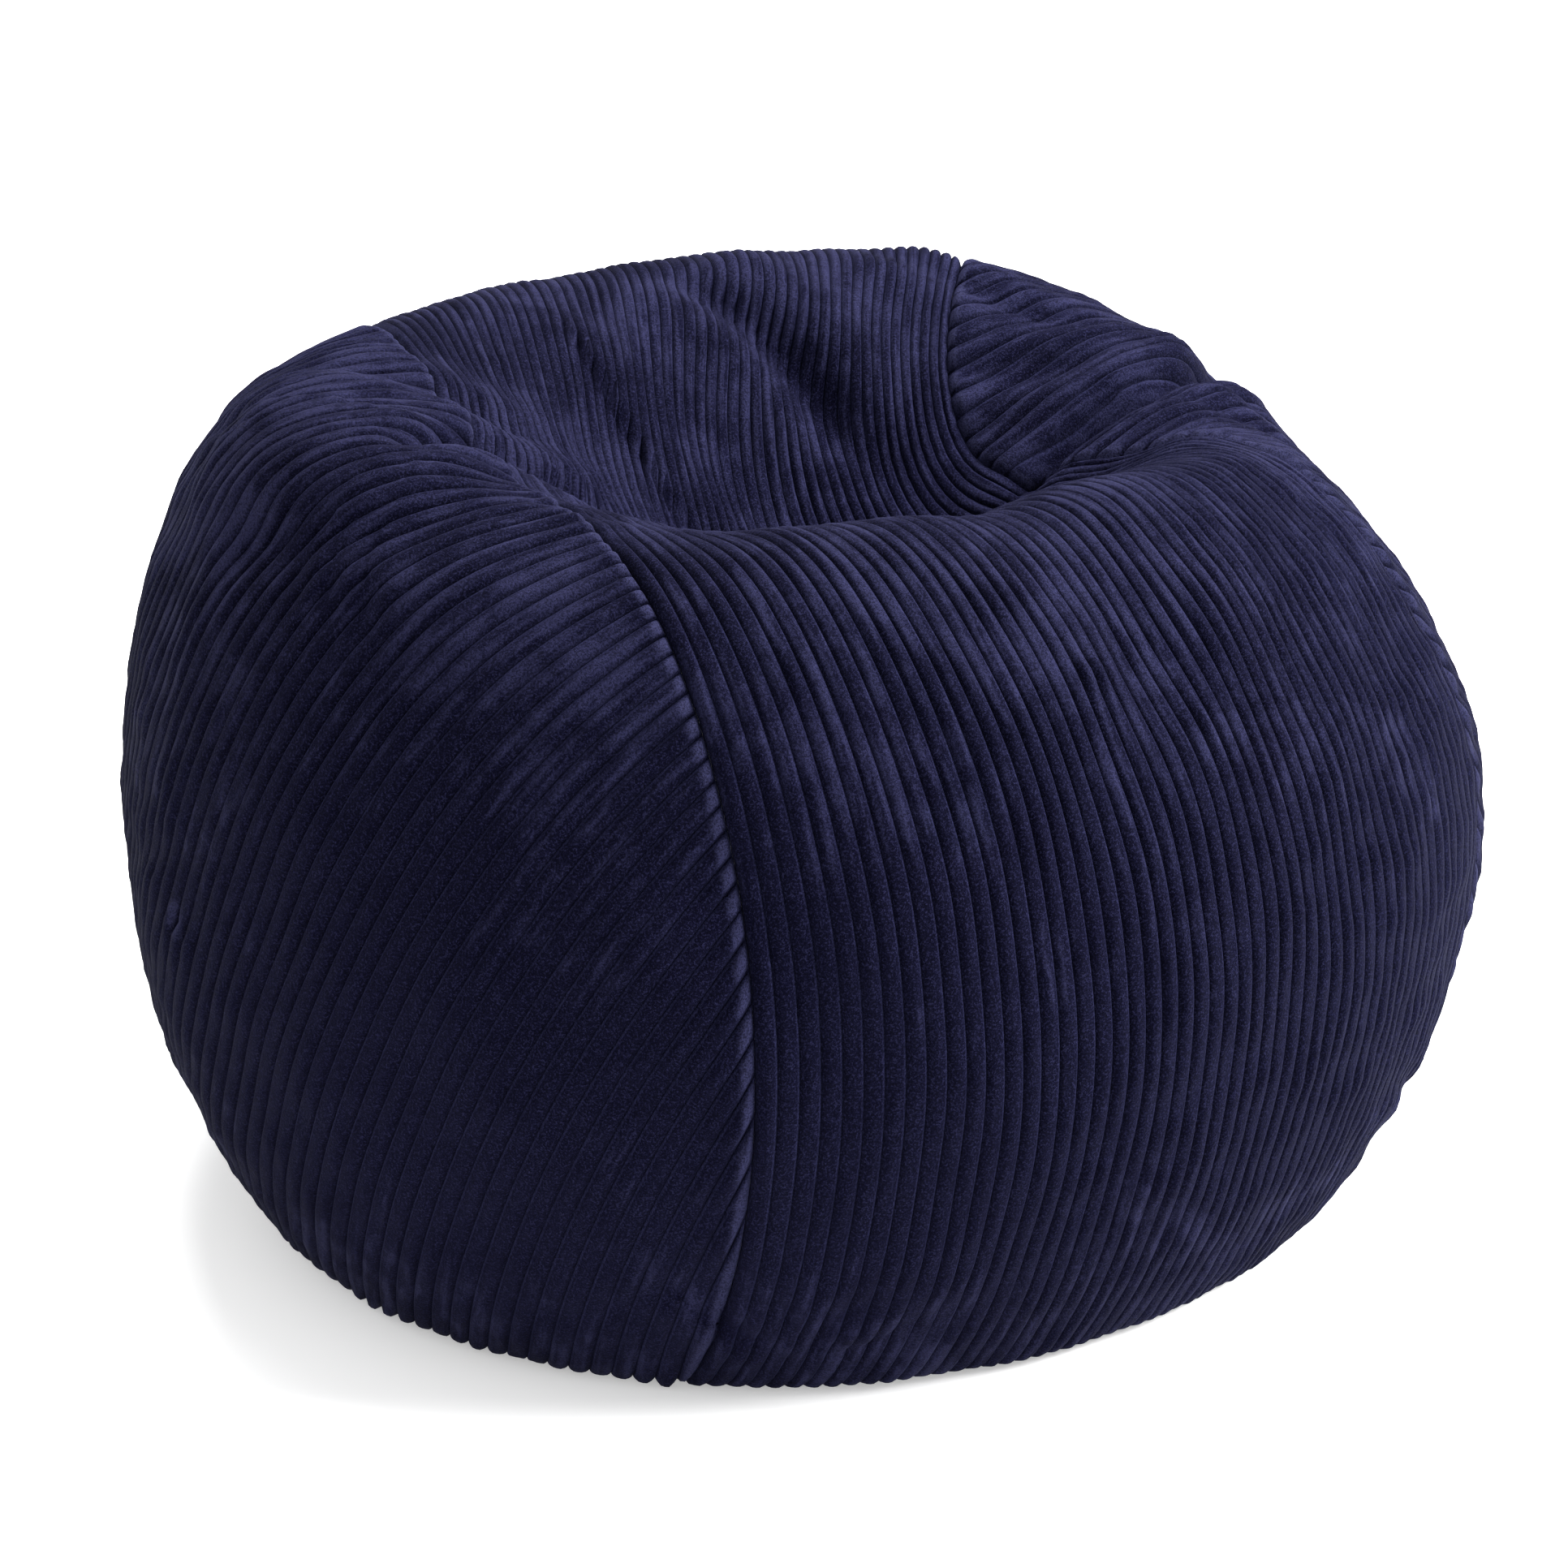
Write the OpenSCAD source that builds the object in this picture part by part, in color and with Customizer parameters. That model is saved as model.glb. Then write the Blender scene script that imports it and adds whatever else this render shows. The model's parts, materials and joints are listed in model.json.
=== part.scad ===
// Bean bag chair: a wide-rib cord cover of three panels and a base, over a plain
// bead liner of the same cut, with a curved zip low on the back of each.
// The front of the seat faces -Y, +Z is up, and the bag rests on z = 0.

/* [Bag] */
// Overall width across the arms
bag_w = 950; // [700:10:1200]
// Overall depth from the front to the back
bag_d = 870; // [680:10:1100]
// Height of the filled bag before a sitter has pressed the seat in
crown_h = 695; // [520:5:860]
// How deep the seat hollow is pressed into the crown
hollow_depth = 320; // [220:5:380]

/* [Covers] */
// Thickness of the cord cover with its pile
cover_t = 5; // [3:0.5:8]
// Thickness of the woven bead liner
liner_t = 1; // [0.6:0.1:2]
// Space between the cover and the liner
cover_to_liner = 6; // [5:0.5:12]
// Space between the liner and the bead fill
liner_to_fill = 8; // [7:0.5:12]
// Gap left between neighbouring panels at a seam
seam_gap = 1.5; // [1:0.1:3]

/* [Zips] */
// Height of the bottom edge of the lower zip tape
zip_low_z = 15; // [12:1:30]
// Height of the top edge of the upper zip tape
zip_top_z = 43; // [40:1:70]
// Thickness of a zip tape
tape_t = 0.8; // [0.5:0.1:1.2]
// Height of one closed coil row, measured across the chain
coil_w = 2.9; // [2:0.1:4]
// Thickness of the coil through the tape
coil_t = 2.4; // [1.8:0.1:3]
// Length of the cover's zip slider along the chain
slider_l = 16; // [10:0.5:20]
// Length of the pull tab from its hinge
pull_l = 30; // [18:1:40]

/* [Label] */
// Width of the blank care label
label_w = 34; // [20:1:60]
// Length of the care label out of the seam
label_l = 22; // [12:1:40]

/* [Hidden] */

half_w = bag_w / 2;
half_d = bag_d / 2;
belt_z = 0.38 * crown_h;        // height of the widest girth
crown_rise = crown_h - belt_z;  // girth to the unpressed crown
sole_drop = 0.64 * crown_h;     // girth to the sole, before the floor flattens it
fullness = 0.87;                // below 1 the sides stand fuller than an ellipsoid
sole_round = 20;                // half the height over which the floor edge rounds
base_seam = 0.615;              // latitude of the base seam, as -z on the unit ball

// Layers, as depths below the outside of the cover
liner_at = cover_t + cover_to_liner;
fill_at = liner_at + liner_t + liner_to_fill;

// Each press is a soft push on the filled ball: where it is centred and how far it
// reaches, as fractions of half_w, half_d and crown_h, and how far it moves things up
PRESSES = [
    [[0.01, -0.08, 0.90], [0.52, 0.39, 0.38], -hollow_depth],          // seat hollow
    [[0.14, 0.69, 0.83], [0.68, 0.35, 0.30], -0.16 * hollow_depth],    // back rim
    [[0.22, -0.75, 0.72], [0.68, 0.37, 0.27], -0.12 * hollow_depth],   // front lip
    [[-0.75, 0.02, 0.67], [0.32, 0.48, 0.27], 0.25 * hollow_depth],    // left arm
    [[0.77, -0.16, 0.64], [0.32, 0.48, 0.27], -0.23 * hollow_depth]];  // right arm

panel_rows = 56;      // rows of facets along a side seam
panel_cols = 14;      // columns across the centre strip
base_steps = 12;      // steps along a side panel's floor edge
side_rings = 7;       // rings from a side panel's edge to its middle
base_rings = 3;
fill_rows = 38;
fill_cols = 60;
nudge = 0.004;        // step on the unit ball for working out a surface normal

function unit(v) = v / norm(v);

function filled_point(n) =
    let (girth = sqrt(max(1 - n.z * n.z, 0)))
    let (spread = girth > 0 ? pow(girth, fullness) / girth : 1)
    [half_w * n.x * spread, half_d * n.y * spread,
     belt_z + (n.z > 0 ? crown_rise : sole_drop) * n.z];

function press_weight(p, press) =
    let (scale_of = [half_w, half_d, crown_h])
    let (away = [for (i = [0:2]) (p[i] / scale_of[i] - press[0][i]) / press[1][i]])
    exp(-away * away);

function rest_on_floor(z) =
    z > sole_round ? z
    : z < -sole_round ? 0
    : pow(z + sole_round, 2) / (4 * sole_round);

// Outside of the cover along direction n of the unit ball
function skin_point(n) =
    let (p = filled_point(n))
    let (weights = [for (press = PRESSES) press_weight(p, press)])
    let (moves = [for (press = PRESSES) press[2]])
    [p.x, p.y, rest_on_floor(p.z + weights * moves)];

function skin_normal(n) =
    let (along = unit(cross(abs(n.z) > 0.9 ? [1, 0, 0] : [0, 0, 1], n)))
    let (across = cross(n, along))
    let (run = skin_point(unit(n + nudge * along)) - skin_point(unit(n - nudge * along)))
    let (rise = skin_point(unit(n + nudge * across)) - skin_point(unit(n - nudge * across)))
    unit(cross(run, rise));

function layer_point(n, depth) = skin_point(n) - depth * skin_normal(n);

// A loop turn of 0 is the front, 90 the crown, 180 the back and -90 the sole
function loop_dir(x, turn) =
    let (r = sqrt(1 - x * x))
    [x, -r * cos(turn), r * sin(turn)];

tuck_turn = 93;       // where the right arm's fold draws its seam into the hollow
tuck_reach = 14;      // how far along the loop the fold draws it
tuck_in = 0.18;

// Sideways place of a side seam on the unit ball; the strip has slipped to the right
function seam_x(side, turn) =
    let (backward = (1 - cos(turn)) / 2)
    let (upright = sin(turn) * sin(turn))
    let (tucked = exp(-pow((turn - tuck_turn) / tuck_reach, 2)))
    side < 0 ? -(0.545 - 0.125 * backward)
             : 0.755 - 0.05 * backward - 0.30 * upright - tuck_in * tucked;

function strip_x(share, turn) =
    let (left = seam_x(-1, turn) + seam_gap / half_w)
    let (right = seam_x(1, turn) - seam_gap / half_w)
    left + (right - left) * share;

// Loop turn at which a column of the strip comes down to latitude -drop
function end_turn(share, drop, behind, guess = 35, tries = 5) =
    let (x = strip_x(share, behind ? 180 + guess : -guess))
    let (found = asin(drop / sqrt(1 - x * x)))
    tries == 0 ? (behind ? 180 + found : -found)
               : end_turn(share, drop, behind, found, tries - 1);

function latitude_of(z) = (belt_z - z) / sole_drop;

base_gap = 2 * seam_gap / half_w;
zip_edge = latitude_of(zip_top_z + 2);

// Two surfaces of one grid, joined at its edges, as a closed sheet of cloth.
// rows holds the directions row by row; a closed grid joins its last column to its first,
// and a pole closes the last row on one direction.
module cloth(rows, depth, thick, closed = false, pole = undef) {
    count = len(rows);
    width = len(rows[0]);
    dirs = [for (row = rows) for (n = row) n];
    all_dirs = is_undef(pole) ? dirs : concat(dirs, [pole]);
    total = len(all_dirs);
    points = concat([for (n = all_dirs) layer_point(n, depth)],
                    [for (n = all_dirs) layer_point(n, depth + thick)]);
    spans = closed ? width : width - 1;
    quads = [for (i = [0:count - 2]) for (j = [0:spans - 1])
        [i * width + j, i * width + (j + 1) % width,
         (i + 1) * width + (j + 1) % width, (i + 1) * width + j]];
    cap = is_undef(pole) ? []
        : [for (j = [0:spans - 1])
            [(count - 1) * width + j, (count - 1) * width + (j + 1) % width, total - 1]];
    outer = concat([for (q = quads) [q[0], q[2], q[1]]],
                   [for (q = quads) [q[0], q[3], q[2]]],
                   [for (c = cap) [c[0], c[2], c[1]]]);
    inner = [for (f = outer) [f[0] + total, f[2] + total, f[1] + total]];
    first_row = [for (j = [0:spans - 1]) [j, (j + 1) % width]];
    last_row = !is_undef(pole) ? []
        : [for (j = [0:spans - 1])
            [(count - 1) * width + (j + 1) % width, (count - 1) * width + j]];
    sides = closed ? []
        : concat([for (i = [0:count - 2]) [(i + 1) * width, i * width]],
                 [for (i = [0:count - 2]) [i * width + width - 1, (i + 1) * width + width - 1]]);
    edges = concat(first_row, last_row, sides);
    rim = concat([for (e = edges) [e[0], e[1], e[1] + total]],
                 [for (e = edges) [e[0], e[1] + total, e[0] + total]]);
    polyhedron(points, concat(outer, inner, rim), convexity = 8);
}

// Strip from the front of the base, over the lip, seat and back, down to the zip
module centre_panel(depth, thick) {
    rows = [for (i = [0:panel_rows])
        [for (j = [0:panel_cols])
            let (share = j / panel_cols)
            let (front = end_turn(share, base_seam - base_gap, false))
            let (back = end_turn(share, zip_edge, true))
            let (turn = front + (back - front) * i / panel_rows)
            loop_dir(strip_x(share, turn), turn)]];
    cloth(rows, depth, thick);
}

// Azimuth, from the front towards +X, of a direction
function azimuth(n) = atan2(n.x, -n.y);

// Side panel: its edge runs up the seam from the front floor, over the top and down
// the back, then home along the floor; rings close on the side pole
module side_panel(side, depth, thick) {
    drop = base_seam - base_gap;
    inset = seam_gap / half_w;
    reach = sqrt(1 - drop * drop);
    front = end_turn(side < 0 ? 0 : 1, drop, false);
    back = end_turn(side < 0 ? 0 : 1, drop, true);
    seam = [for (i = [0:panel_rows])
        let (turn = front + (back - front) * i / panel_rows)
        loop_dir(seam_x(side, turn) + side * inset, turn)];
    from = azimuth(seam[panel_rows]);
    to = azimuth(seam[0]);
    floor_edge = [for (i = [1:base_steps - 1])
        let (angle = from + (to - from) * i / base_steps)
        [reach * sin(angle), -reach * cos(angle), -drop]];
    edge = concat(seam, floor_edge);
    loop = side > 0 ? edge : [for (i = [len(edge) - 1:-1:0]) edge[i]];
    middle = [side, 0, 0];
    rows = [for (k = [0:side_rings - 1])
        [for (n = loop) unit(n * (1 - k / side_rings) + middle * (k / side_rings))]];
    cloth(rows, depth, thick, closed = true, pole = middle);
}

module base_panel(depth, thick) {
    drop = base_seam + base_gap;
    steps = 44;
    rows = [for (k = [0:base_rings - 1])
        let (z = drop + (1 - drop) * k / base_rings)
        [for (j = [0:steps - 1])
            let (r = sqrt(1 - z * z))
            [r * sin(360 * j / steps), r * cos(360 * j / steps), -z]]];
    cloth(rows, depth, thick, closed = true, pole = [0, 0, -1]);
}

// ---- Zips: every part of a zip is a slice of one cone about a vertical axis ----

function back_at(z) =
    let (drop = latitude_of(z))
    skin_point([0, sqrt(1 - drop * drop), -drop]);
zip_foot = back_at(zip_low_z);
zip_head = back_at(zip_top_z);
zip_mid = (zip_foot + zip_head) / 2;
zip_half = norm(zip_head - zip_foot) / 2;
zip_lean = atan2(zip_head.y - zip_foot.y, zip_head.z - zip_foot.z);
zip_drop = latitude_of(zip_mid.z);

// Where an edge of the strip meets the zip's height
function zip_corner(share) =
    let (turn = end_turn(share, zip_drop, true))
    skin_point(loop_dir(strip_x(share, turn), turn));

// Circle, centred behind the zip's middle, that also runs through a corner
function radius_through(corner) =
    let (sag = zip_mid.y - corner.y)
    (pow(corner.x, 2) + pow(sag, 2)) / (2 * sag);
zip_radius = (radius_through(zip_corner(0)) + radius_through(zip_corner(1))) / 2;
zip_centre_y = zip_mid.y - zip_radius;
tape_at = cover_t / 2;                  // the tape lies in the middle of the cover
liner_zip_at = liner_at + liner_t / 2;
coil_gap = 0.6;                         // half the parting between the coil rows
tape_edge = coil_gap + coil_w + 0.1;    // where a tape starts, beside its coil
end_room = 8;                           // clear space between a zip's end and a seam

function sweep_of(length) = length / zip_radius * 180 / PI;
zip_start = asin(zip_corner(0).x / zip_radius) + sweep_of(end_room);
zip_end = asin(zip_corner(1).x / zip_radius) - sweep_of(end_room);

// Profile frame: x outward from the cloth, y up along it, turned about the zip's axis.
// Angles run from the back's middle, positive towards +X.
module zip_sweep(from, to, depth) {
    translate([0, zip_centre_y, 0])
        rotate([0, 0, 90 - to])
            rotate_extrude(angle = to - from, $fn = 180)
                translate([zip_radius - depth * cos(zip_lean), zip_mid.z + depth * sin(zip_lean)])
                    rotate(-zip_lean)
                        children();
}

module at_zip(angle, depth) {
    translate([0, zip_centre_y, 0])
        rotate([0, 0, 90 - angle])
            translate([zip_radius - depth * cos(zip_lean), 0, zip_mid.z + depth * sin(zip_lean)])
                rotate([0, zip_lean, 0])
                    children();
}

// up is 1 for the upper row and -1 for the lower one
module band(near, far, thick, up) {
    translate([-thick / 2, up > 0 ? near : -far]) square([thick, far - near]);
}

module zip_tape(up, depth, half) {
    zip_sweep(zip_start, zip_end, depth) band(tape_edge, half, tape_t, up);
}

module zip_coil(up, depth) {
    zip_sweep(zip_start, zip_end, depth) band(coil_gap, coil_gap + coil_w, coil_t, up);
}

plate_t = 1.3;
plate_clear = 0.35;     // running space between a slider plate and the coil
slider_start = zip_start + 2.2;

// Two plates over and under the chain, joined by a thin web that parts the coil rows
module slider_body(depth, length, wide) {
    inner = coil_t / 2 + plate_clear;
    from = slider_start;
    zip_sweep(from, from + sweep_of(length), depth) {
        translate([inner, -wide / 2]) square([plate_t, wide]);
        translate([-inner - plate_t, -wide / 2]) square([plate_t, wide]);
        translate([-inner - plate_t, -0.35]) square([2 * (inner + plate_t), 0.7]);
    }
}

// Two staples at the closed end, one on each tape, and a bridge past the open end
module zip_stops(depth) {
    near = coil_t / 2 + 0.2;
    for (angle = [zip_start + 0.5, zip_end - 1.1])
        for (up = [-1, 1])
            zip_sweep(angle, angle + 0.55, depth)
                translate([near, up > 0 ? coil_gap : -coil_gap - coil_w])
                    square([1, coil_w]);
}

slider_wide = 11;
liner_slider_l = 11;
liner_slider_wide = 9.5;
bail_r = 0.9;
pull_hole_r = 1.3;
bail_out = coil_t / 2 + plate_clear + plate_t + 2.6;   // hinge height above the chain
bail_half = 3.1;
slider_mid = slider_start + sweep_of(slider_l) / 2;

module bail() {
    at_zip(slider_mid, tape_at) {
        translate([bail_out, 0, -bail_half]) cylinder(h = 2 * bail_half, r = bail_r, $fn = 32);
        for (side = [-1, 1])
            translate([coil_t / 2 + plate_clear + plate_t / 2, -bail_r, side * bail_half - 0.6])
                cube([bail_out - coil_t / 2 - plate_clear - plate_t / 2 + bail_r, 2 * bail_r, 1.2]);
    }
}

pull_t = 1.6;
pull_w = 4.6;
eye_r = 2.3;
grip_w = 8;

// Flat tab with an eye round the bail; it lies back over the closed chain at rest
module pull_tab() {
    at_zip(slider_mid, tape_at)
        translate([bail_out, 0, -pull_w / 2])
            difference() {
                union() {
                    cylinder(h = pull_w, r = eye_r, $fn = 48);
                    translate([-pull_t / 2, -pull_l * 0.45, 0]) cube([pull_t, pull_l * 0.45, pull_w]);
                    translate([-pull_t / 2, -pull_l, (pull_w - grip_w) / 2])
                        cube([pull_t, pull_l * 0.6, grip_w]);
                }
                translate([0, 0, -1]) cylinder(h = pull_w + 2, r = pull_hole_r, $fn = 48);
            }
}

// Blank label standing out of the left seam, behind the arm
label_turn = 196;
label_t = 0.7;
module label() {
    n = loop_dir(seam_x(-1, label_turn), label_turn);
    out = skin_normal(n);
    foot = skin_point(n) + 0.6 * out;
    yaw = atan2(out.y, out.x);
    translate([foot.x, foot.y, foot.z])
        rotate([0, 0, yaw])
            rotate([0, -atan2(out.z, norm([out.x, out.y])), 0])
                translate([0, -label_t / 2, -label_w / 2])
                    cube([label_l, label_t, label_w]);
}

module bead_fill() {
    function ring(i) = -90 + 180 * i / fill_rows;
    dirs = concat(
        [[0, 0, -1]],
        [for (i = [1:fill_rows - 1]) for (j = [0:fill_cols - 1])
            let (turn = 360 * j / fill_cols)
            [cos(ring(i)) * sin(turn), cos(ring(i)) * cos(turn), sin(ring(i))]],
        [[0, 0, 1]]);
    last = len(dirs) - 1;
    function at(i, j) = 1 + (i - 1) * fill_cols + j % fill_cols;
    faces = concat(
        [for (j = [0:fill_cols - 1]) [0, at(1, j), at(1, j + 1)]],
        [for (i = [1:fill_rows - 2]) for (j = [0:fill_cols - 1])
            [at(i, j), at(i + 1, j), at(i + 1, j + 1)]],
        [for (i = [1:fill_rows - 2]) for (j = [0:fill_cols - 1])
            [at(i, j), at(i + 1, j + 1), at(i, j + 1)]],
        [for (j = [0:fill_cols - 1]) [last, at(fill_rows - 1, j + 1), at(fill_rows - 1, j)]]);
    polyhedron([for (n = dirs) layer_point(n, fill_at)], faces, convexity = 8);
}

cord_blue = [0.10, 0.10, 0.18];
lining_white = [0.86, 0.86, 0.84];

module cover_centre_panel() { color(cord_blue) centre_panel(0, cover_t); }
module cover_left_panel() { color(cord_blue) side_panel(-1, 0, cover_t); }
module cover_right_panel() { color(cord_blue) side_panel(1, 0, cover_t); }
module cover_base_panel() { color([0.05, 0.05, 0.07]) base_panel(0, cover_t); }
module cover_zip_tape_upper() { color([0.06, 0.06, 0.10]) zip_tape(1, tape_at, zip_half); }
module cover_zip_tape_lower() { color([0.06, 0.06, 0.10]) zip_tape(-1, tape_at, zip_half); }
module cover_zip_coil_upper() { color([0.04, 0.04, 0.07]) zip_coil(1, tape_at); }
module cover_zip_coil_lower() { color([0.04, 0.04, 0.07]) zip_coil(-1, tape_at); }
module cover_zip_slider() {
    color("dimgray") {
        slider_body(tape_at, slider_l, slider_wide);
        bail();
    }
}
module cover_zip_pull() { color("dimgray") pull_tab(); }
module cover_zip_stops() { color("dimgray") zip_stops(tape_at); }
module care_label() { color("white") label(); }

module liner_centre_panel() { color(lining_white) centre_panel(liner_at, liner_t); }
module liner_left_panel() { color(lining_white) side_panel(-1, liner_at, liner_t); }
module liner_right_panel() { color(lining_white) side_panel(1, liner_at, liner_t); }
module liner_base_panel() { color(lining_white) base_panel(liner_at, liner_t); }
module liner_zip_tape_upper() { color("white") zip_tape(1, liner_zip_at, zip_half); }
module liner_zip_tape_lower() { color("white") zip_tape(-1, liner_zip_at, zip_half); }
module liner_zip_coil_upper() { color("gainsboro") zip_coil(1, liner_zip_at); }
module liner_zip_coil_lower() { color("gainsboro") zip_coil(-1, liner_zip_at); }
module liner_zip_slider() {
    color("silver") slider_body(liner_zip_at, liner_slider_l, liner_slider_wide);
}
module liner_zip_stops() { color("silver") zip_stops(liner_zip_at); }
module bean_fill() { color("ivory") bead_fill(); }

cover_centre_panel();
cover_left_panel();
cover_right_panel();
cover_base_panel();
cover_zip_tape_upper();
cover_zip_tape_lower();
cover_zip_coil_upper();
cover_zip_coil_lower();
cover_zip_slider();
cover_zip_pull();
cover_zip_stops();
care_label();
liner_centre_panel();
liner_left_panel();
liner_right_panel();
liner_base_panel();
liner_zip_tape_upper();
liner_zip_tape_lower();
liner_zip_coil_upper();
liner_zip_coil_lower();
liner_zip_slider();
liner_zip_stops();
bean_fill();
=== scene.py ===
import json
import math

import bpy
import numpy as np
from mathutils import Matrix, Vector


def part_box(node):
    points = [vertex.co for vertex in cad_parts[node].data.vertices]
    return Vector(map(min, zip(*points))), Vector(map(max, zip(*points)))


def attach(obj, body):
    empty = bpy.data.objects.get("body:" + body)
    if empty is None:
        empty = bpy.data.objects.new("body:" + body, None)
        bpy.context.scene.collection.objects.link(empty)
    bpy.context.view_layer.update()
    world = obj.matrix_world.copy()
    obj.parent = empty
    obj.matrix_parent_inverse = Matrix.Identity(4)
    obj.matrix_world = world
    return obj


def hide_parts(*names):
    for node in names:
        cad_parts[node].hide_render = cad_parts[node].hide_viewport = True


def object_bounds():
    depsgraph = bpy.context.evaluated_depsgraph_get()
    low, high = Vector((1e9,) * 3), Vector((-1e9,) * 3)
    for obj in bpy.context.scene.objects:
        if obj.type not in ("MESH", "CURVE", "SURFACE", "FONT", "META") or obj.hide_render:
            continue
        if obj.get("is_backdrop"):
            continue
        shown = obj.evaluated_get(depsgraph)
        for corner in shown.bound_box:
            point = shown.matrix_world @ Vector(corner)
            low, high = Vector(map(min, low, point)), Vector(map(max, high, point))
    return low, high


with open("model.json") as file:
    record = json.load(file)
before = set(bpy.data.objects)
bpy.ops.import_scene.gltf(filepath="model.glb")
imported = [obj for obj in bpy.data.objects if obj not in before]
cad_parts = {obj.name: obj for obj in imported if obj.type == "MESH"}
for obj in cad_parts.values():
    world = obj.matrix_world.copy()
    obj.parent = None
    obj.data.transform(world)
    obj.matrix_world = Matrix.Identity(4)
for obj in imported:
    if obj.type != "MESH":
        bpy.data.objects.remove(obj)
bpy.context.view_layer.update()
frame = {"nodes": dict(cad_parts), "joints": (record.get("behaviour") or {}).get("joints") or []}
bpy.ops.object.select_all(action="DESELECT")

# ---- Bead fill ----
# Loose expanded polystyrene beads, poured into the liner. They take the shape of the bag
# and keep the hollow, arms and creases that a sitter has pressed in, so the shape of the
# whole bag is worked out here, and each cloth lies a set depth under it.
HALF_W, HALF_D = 0.475, 0.435
CROWN_H = 0.695
HOLLOW_DEPTH = 0.320
BELT_Z = 0.38 * CROWN_H          # height of the widest girth
CROWN_RISE = CROWN_H - BELT_Z
SOLE_DROP = 0.64 * CROWN_H       # more than BELT_Z, so the floor flattens the sole
FULLNESS = 0.87                  # under 1 fills the bag out above and below its girth
SOLE_ROUND = 0.020
BAG_SCALE = np.array([HALF_W, HALF_D, CROWN_H])

# centre and reach of each push as shares of the bag's scale, and how far it moves cloth up
PRESSES = {
    "seat_hollow": ((0.01, -0.08, 0.90), (0.52, 0.39, 0.38), -HOLLOW_DEPTH),
    "back_rim": ((0.14, 0.69, 0.83), (0.68, 0.35, 0.30), -0.16 * HOLLOW_DEPTH),
    "front_lip": ((0.22, -0.75, 0.72), (0.68, 0.37, 0.27), -0.12 * HOLLOW_DEPTH),
    "left_arm": ((-0.75, 0.02, 0.67), (0.32, 0.48, 0.27), 0.25 * HOLLOW_DEPTH),
    "right_arm": ((0.77, -0.16, 0.64), (0.32, 0.48, 0.27), -0.23 * HOLLOW_DEPTH),
}

# Each fold runs along a route over the bag. Across it lie humps, as (how far to the left of
# the route, half width, height), in metres.
FOLDS = {
    "left_arm_crease": (
        [(-0.345, -0.045, 0.583), (-0.300, -0.035, 0.575), (-0.252, -0.014, 0.555),
         (-0.222, -0.022, 0.530), (-0.187, -0.005, 0.510), (-0.140, 0.010, 0.460)],
        [(0.0, 0.010, -0.015), (0.028, 0.020, 0.008), (-0.026, 0.020, 0.009)]),
    "left_arm_soft_fold": (
        [(-0.440, 0.030, 0.520), (-0.405, -0.060, 0.545), (-0.350, -0.110, 0.560),
         (-0.290, -0.120, 0.565)],
        [(0.0, 0.022, -0.007), (0.050, 0.030, 0.004)]),
    "left_arm_roll": (
        [(-0.330, 0.110, 0.585), (-0.270, 0.060, 0.575), (-0.215, 0.045, 0.540),
         (-0.170, 0.045, 0.500)],
        [(0.0, 0.012, -0.007), (0.028, 0.020, 0.005), (-0.028, 0.020, 0.005)]),
    "right_arm_crease": (
        [(0.110, -0.040, 0.440), (0.159, -0.032, 0.464), (0.195, -0.026, 0.487),
         (0.250, -0.030, 0.505), (0.300, -0.020, 0.505), (0.365, 0.025, 0.490)],
        [(0.0, 0.010, -0.020), (0.030, 0.020, 0.010), (-0.030, 0.022, 0.012)]),
    "backrest_fold": (
        [(0.010, 0.205, 0.588), (0.022, 0.175, 0.575), (0.053, 0.128, 0.551),
         (0.066, 0.100, 0.525), (0.073, 0.075, 0.500), (0.068, 0.040, 0.460)],
        [(0.028, 0.028, 0.010), (-0.012, 0.015, -0.014), (-0.045, 0.022, 0.005)]),
    "right_rim_upper_crease": (
        [(0.150, 0.190, 0.570), (0.200, 0.110, 0.545), (0.245, 0.065, 0.525),
         (0.300, 0.060, 0.510)],
        [(0.0, 0.010, -0.014), (0.024, 0.016, 0.008), (-0.024, 0.016, 0.008)]),
    "right_rim_lower_crease": (
        [(0.120, 0.110, 0.520), (0.170, 0.065, 0.505), (0.225, 0.030, 0.505),
         (0.290, 0.030, 0.505), (0.350, 0.060, 0.490)],
        [(0.0, 0.009, -0.012), (0.022, 0.015, 0.007), (-0.022, 0.015, 0.006)]),
    "seat_left_fold": (
        [(-0.120, 0.190, 0.560), (-0.110, 0.110, 0.500), (-0.085, 0.040, 0.430),
         (-0.050, -0.030, 0.398)],
        [(0.0, 0.018, -0.009), (0.036, 0.026, 0.007)]),
    "lip_dip": (
        [(-0.040, -0.170, 0.480), (-0.010, -0.235, 0.540), (0.020, -0.330, 0.520),
         (0.030, -0.400, 0.430)],
        [(0.0, 0.045, -0.008), (0.075, 0.040, 0.005)]),
    "front_left_slump": (
        [(-0.300, -0.290, 0.440), (-0.240, -0.350, 0.340), (-0.215, -0.385, 0.220),
         (-0.230, -0.370, 0.110)],
        [(0.0, 0.040, -0.006), (-0.060, 0.045, 0.005)]),
    "right_belly_slump": (
        [(0.400, -0.180, 0.420), (0.440, -0.160, 0.320), (0.440, -0.130, 0.200),
         (0.390, -0.140, 0.090)],
        [(0.0, 0.050, -0.007), (0.080, 0.050, 0.005)]),
}

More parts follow.
